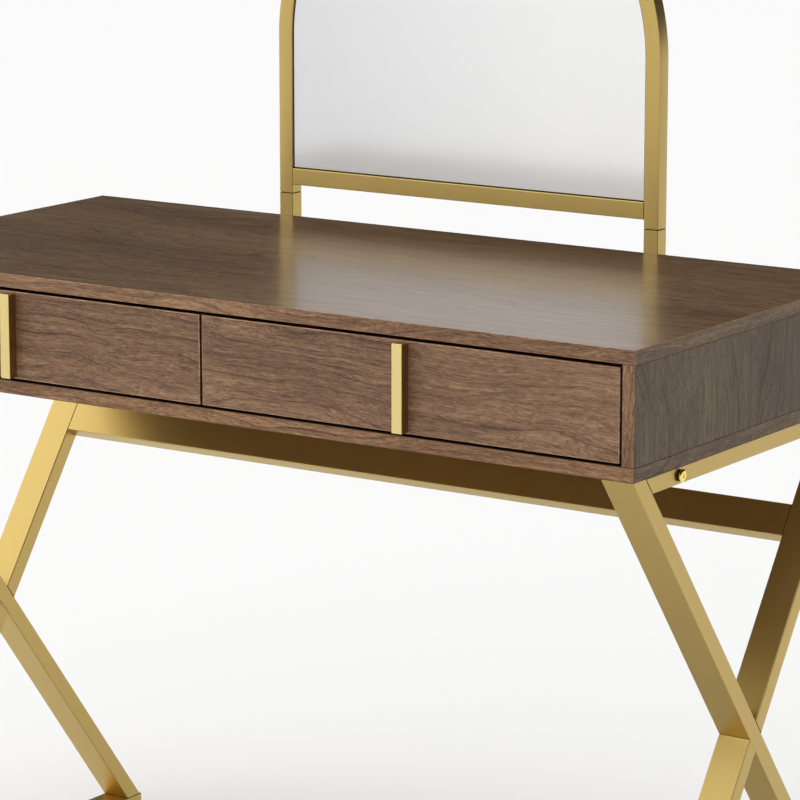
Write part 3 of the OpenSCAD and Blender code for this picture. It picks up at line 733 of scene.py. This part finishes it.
# ---- Mirror ----
# An arch bent from one square tube stands on two stub posts bolted behind the cabinet. The
# silvered glass lies just behind the frame's front, and nine screwed clips hold it and its
# black backing board there.
post_low, post_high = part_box("right_stub_post")
arch_low, arch_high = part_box("mirror_arch_tube")
TUBE = post_high.x - post_low.x
JOINT_GAP = 0.0005
POST_END = 0.0008
ARCH_POINTS = 361
GLASS_EDGE = 0.0006
GLASS_SEAT = 0.0007
BACKING_EDGE = 0.0004
CLIP_EDGE = 0.0004
CLIP_SCREW_R = 0.0026
CLIP_SCREW_H = 0.0011
tube_piece("left_stub_post", POST_END)
tube_piece("right_stub_post", POST_END)
tube_piece("mirror_bottom_rail")


def bent_tube_tree():
    """Geometry nodes that bend a rounded square tube into an upright, a half circle and an upright."""
    tree = bpy.data.node_groups.new("bent_tube", "GeometryNodeTree")
    face = tree.interface
    face.new_socket("Points", in_out="INPUT", socket_type="NodeSocketGeometry")
    for name in ("Bend radius", "Upright", "Foot height", "Depth place", "Tube size", "Corner radius"):
        face.new_socket(name, in_out="INPUT", socket_type="NodeSocketFloat")
    face.new_socket("Finish", in_out="INPUT", socket_type="NodeSocketMaterial")
    face.new_socket("Geometry", in_out="OUTPUT", socket_type="NodeSocketGeometry")
    start = tree.nodes.new("NodeGroupInput").outputs
    bow = math_node(tree, "MULTIPLY", start["Bend radius"], math.pi)
    length = math_node(tree, "MULTIPLY_ADD", start["Upright"], 2.0, bow)
    end = tree_node(tree, "ShaderNodeCombineXYZ", {"X": length}).outputs[0]
    line = tree_node(tree, "GeometryNodeCurvePrimitiveLine", {"End": end})
    fine = tree_node(tree, "GeometryNodeResampleCurve", {"Curve": line.outputs[0], "Count": ARCH_POINTS})
    run = tree_node(tree, "GeometryNodeSplineParameter").outputs["Length"]
    past_foot = math_node(tree, "SUBTRACT", run, start["Upright"])
    on_bow = math_node(tree, "MINIMUM", math_node(tree, "MAXIMUM", past_foot, 0.0), bow)
    angle = math_node(tree, "DIVIDE", on_bow, start["Bend radius"])
    inward = math_node(tree, "MULTIPLY", start["Bend radius"], -1.0)
    x = math_node(tree, "MULTIPLY", math_node(tree, "COSINE", angle), inward)
    rise = math_node(tree, "MULTIPLY", math_node(tree, "SINE", angle), start["Bend radius"])
    first = math_node(tree, "MINIMUM", run, start["Upright"])
    last = math_node(tree, "MAXIMUM", math_node(tree, "SUBTRACT", past_foot, bow), 0.0)
    raised = math_node(tree, "ADD", start["Foot height"], rise)
    z = math_node(tree, "ADD", raised, math_node(tree, "SUBTRACT", first, last))
    place = tree_node(tree, "ShaderNodeCombineXYZ", {"X": x, "Y": start["Depth place"], "Z": z}).outputs[0]
    path = tree_node(tree, "GeometryNodeSetPosition", {"Geometry": fine.outputs[0], "Position": place})
    square = tree_node(tree, "GeometryNodeCurvePrimitiveQuadrilateral", {
        "Width": start["Tube size"], "Height": start["Tube size"]})
    rounded = tree_node(tree, "GeometryNodeFilletCurve", {
        "Curve": square.outputs[0], "Radius": start["Corner radius"], "Count": 3}, mode="POLY")
    tube = tree_node(tree, "GeometryNodeCurveToMesh", {
        "Curve": path.outputs[0], "Profile Curve": rounded.outputs[0], "Fill Caps": True})
    coloured = tree_node(tree, "GeometryNodeSetMaterial", {
        "Geometry": tube.outputs[0], "Material": start["Finish"]})
    tree_node(tree, "NodeGroupOutput", {0: coloured.outputs[0]})
    return tree


bend_radius = (arch_high.x - arch_low.x - TUBE) / 2
upright_length = arch_high.z - arch_low.z - bend_radius - TUBE / 2 - JOINT_GAP
grown("mirror_arch_bent_tube", [(0, 0, 0)], bent_tube_tree(), {
    "Bend radius": bend_radius, "Upright": upright_length, "Foot height": arch_low.z + JOINT_GAP,
    "Depth place": (arch_low.y + arch_high.y) / 2, "Tube size": TUBE, "Corner radius": TUBE_CORNER,
    "Finish": gold_coat}, "cabinet_and_frame", ["mirror_arch_tube"])


def arch_plate(node_name, finishes, edge, steps=96, grow=0.0):
    """A flat arch-topped plate the size of a CAD node, with its rim bevelled. grow widens it all
    round, so that its rim sits in the frame."""
    low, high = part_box(node_name)
    low, high = low - Vector((grow, 0, grow)), high + Vector((grow, 0, grow))
    radius = (high.x - low.x) / 2
    spring = high.z - radius
    outline = [(low.x, low.z), (high.x, low.z)]
    turns = [math.pi * k / steps for k in range(steps + 1)]
    outline += [(radius * math.cos(turn), spring + radius * math.sin(turn)) for turn in turns]
    shape = bmesh.new()
    front = shape.faces.new([shape.verts.new((x, low.y, z)) for x, z in outline])
    rear = bmesh.ops.extrude_face_region(shape, geom=[front])
    rear_verts = [v for v in rear["geom"] if isinstance(v, bmesh.types.BMVert)]
    bmesh.ops.translate(shape, verts=rear_verts, vec=(0, high.y - low.y, 0))
    bmesh.ops.recalc_face_normals(shape, faces=shape.faces[:])
    rims = [e for e in shape.edges if any(len(f.verts) > 4 for f in e.link_faces)]
    bmesh.ops.bevel(shape, geom=rims, offset=edge, segments=1, profile=0.5, affect="EDGES")
    for shape_face in shape.faces:
        shape_face.material_index = 0 if shape_face.normal.y < -0.99 else len(finishes) - 1
    body = body_of_node(node_name)
    return new_piece(node_name + "_plate", shape, body, [node_name], finishes)


def silvered(name):
    """Silver behind glass, with a soft haze. Its tint is painted a little darker to the left, as a painted
    reflection.
    """
    material, tree = new_material(name)
    place = tree_node(tree, "ShaderNodeTexCoord").outputs["Object"]
    wave = noise_node(tree, place, (3, 3, 3), 1, 0.5)
    haze = noise_node(tree, place, (22, 22, 22), 4, 0.6)
    # A painted reflection: the tint grows paler from left to right across the glass.
    across = tree_node(tree, "ShaderNodeSeparateXYZ", {"Vector": place}).outputs["X"]
    painted_reflection_drift = tree_node(tree, "ShaderNodeMapRange", {"Value": across, "From Min": -0.26, "From Max": 0.16})
    even = math_node(tree, "MULTIPLY_ADD", haze, 0.12, painted_reflection_drift.outputs["Result"])
    tint = mix_colour(tree, even, (0.760, 0.765, 0.775, 1), (0.930, 0.930, 0.930, 1))
    rough = math_node(tree, "MULTIPLY_ADD", haze, 0.03, 0.12)
    bump = tree_node(tree, "ShaderNodeBump", {"Height": wave, "Strength": 0.02, "Distance": 0.002})
    return finish_material(material, tree, {
        "Base Color": tint, "Metallic": 0.64, "Roughness": rough, "Normal": bump.outputs[0]})


glass_edge = metal("ground_glass_edge", (0.55, 0.62, 0.60), 0.25)
silver = silvered("silvered_glass")
arch_plate("mirror_glass", [silver, glass_edge], GLASS_EDGE, grow=GLASS_SEAT)
black_board = moulded("black_board", (0.02, 0.02, 0.02), 0.7)
arch_plate("mirror_backing_board", [black_board], BACKING_EDGE)


def middles_of_loose_parts(node_name):
    """The middle of each separate solid in a CAD node, at its rear face."""
    shape = bmesh.new()
    shape.from_mesh(frame["nodes"][node_name].data)
    bmesh.ops.remove_doubles(shape, verts=shape.verts[:], dist=SAME_POINT)
    left_over = set(shape.verts)
    middles = []
    while left_over:
        part, reached = [], [left_over.pop()]
        while reached:
            vertex = reached.pop()
            part.append(vertex.co.copy())
            near = {e.other_vert(vertex) for e in vertex.link_edges} & left_over
            left_over -= near
            reached += near
        middles.append(sum(part, Vector()) / len(part))
        middles[-1].y = max(co.y for co in part)
    shape.free()
    return sorted(tuple(round(c, 6) for c in middle) for middle in middles)


clip_screw = pan_head("clip_screw_head", CLIP_SCREW_R, CLIP_SCREW_H)
eased_copy("mirror_clips", CLIP_EDGE, 2, zinc)
stand("mirror_clip_screw_heads", middles_of_loose_parts("mirror_clips"), clip_screw, (0, 1, 0),
      black_oxide_and_shade)
set_material(["post_bolts"], zinc)
set_material(["mirror_sleeves"], black_oxide_and_shade)
